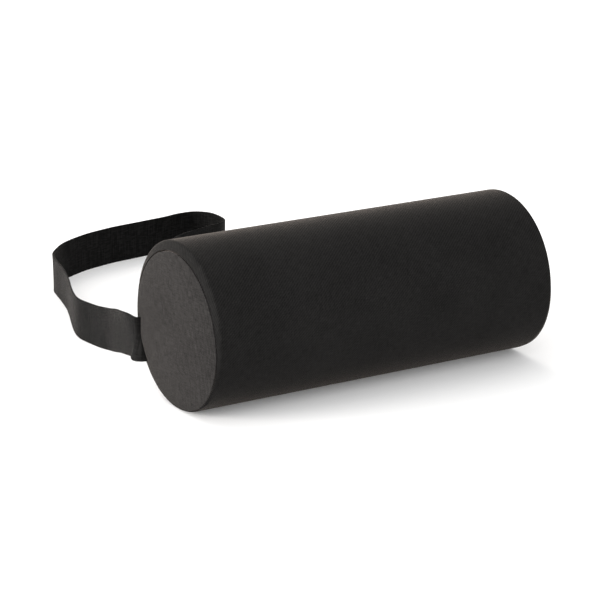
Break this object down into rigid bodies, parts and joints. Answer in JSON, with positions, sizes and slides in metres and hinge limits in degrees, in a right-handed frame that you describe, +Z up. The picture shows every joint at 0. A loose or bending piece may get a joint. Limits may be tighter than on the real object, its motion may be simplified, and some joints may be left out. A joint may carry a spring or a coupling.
{
  "type": "lumbar support cushion",
  "caption": "Round foam lumbar roll in a removable zipped fabric cover, with a flat elastic strap sewn into both end seams to hold it on a chair back.",
  "frame": {"origin": "middle of the flattened underside of the roll, on the surface it rests on", "axes": "+X along the roll towards its right end, +Y towards the chair back, the zip and strap side, +Z up"},
  "size_m": [0.2943, 0.4204, 0.1191],
  "materials": {
    "foam": "open-cell polyurethane foam, matt",
    "cover_fabric": "black fine twill weave polyester, slight sheen",
    "end_fabric": "black fine plain weave polyester, slight sheen",
    "strap_webbing": "black woven elastic webbing",
    "zip_tape": "woven herringbone zip tape",
    "zip_coil": "black nylon coil, satin",
    "zip_metal": "black enamelled zinc, semi-gloss",
    "thread": "black polyester sewing thread"
  },
  "bodies": {
    "cushion": {"foam_core": "foam", "cover_tube_panel": "cover_fabric", "end_panel_left": "end_fabric", "end_panel_right": "end_fabric", "elastic_strap": "strap_webbing", "zip_tape_upper": "zip_tape", "zip_tape_lower": "zip_tape", "zip_coil_upper": "zip_coil", "zip_coil_lower": "zip_coil", "zip_top_stop_upper": "zip_metal", "zip_top_stop_lower": "zip_metal", "zip_bottom_stop": "zip_metal", "zip_stitch_upper": "thread", "zip_stitch_lower": "thread"},
    "slider": {"zip_slider": "zip_metal"},
    "pull_tab": {"zip_pull_tab": "zip_metal"}
  },
  "joints": [
    {"name": "zip_slide", "type": "slide", "parent": "cushion", "child": "slider", "axis": [-1, 0, 0], "range_m": [0, 0.218]},
    {"name": "tab_hinge", "type": "hinge", "parent": "slider", "child": "pull_tab", "pos_m": [0.109, 0.05992, 0.07862], "axis": [0, 0.309, -0.9511], "range_deg": [0, 170]}
  ]
}
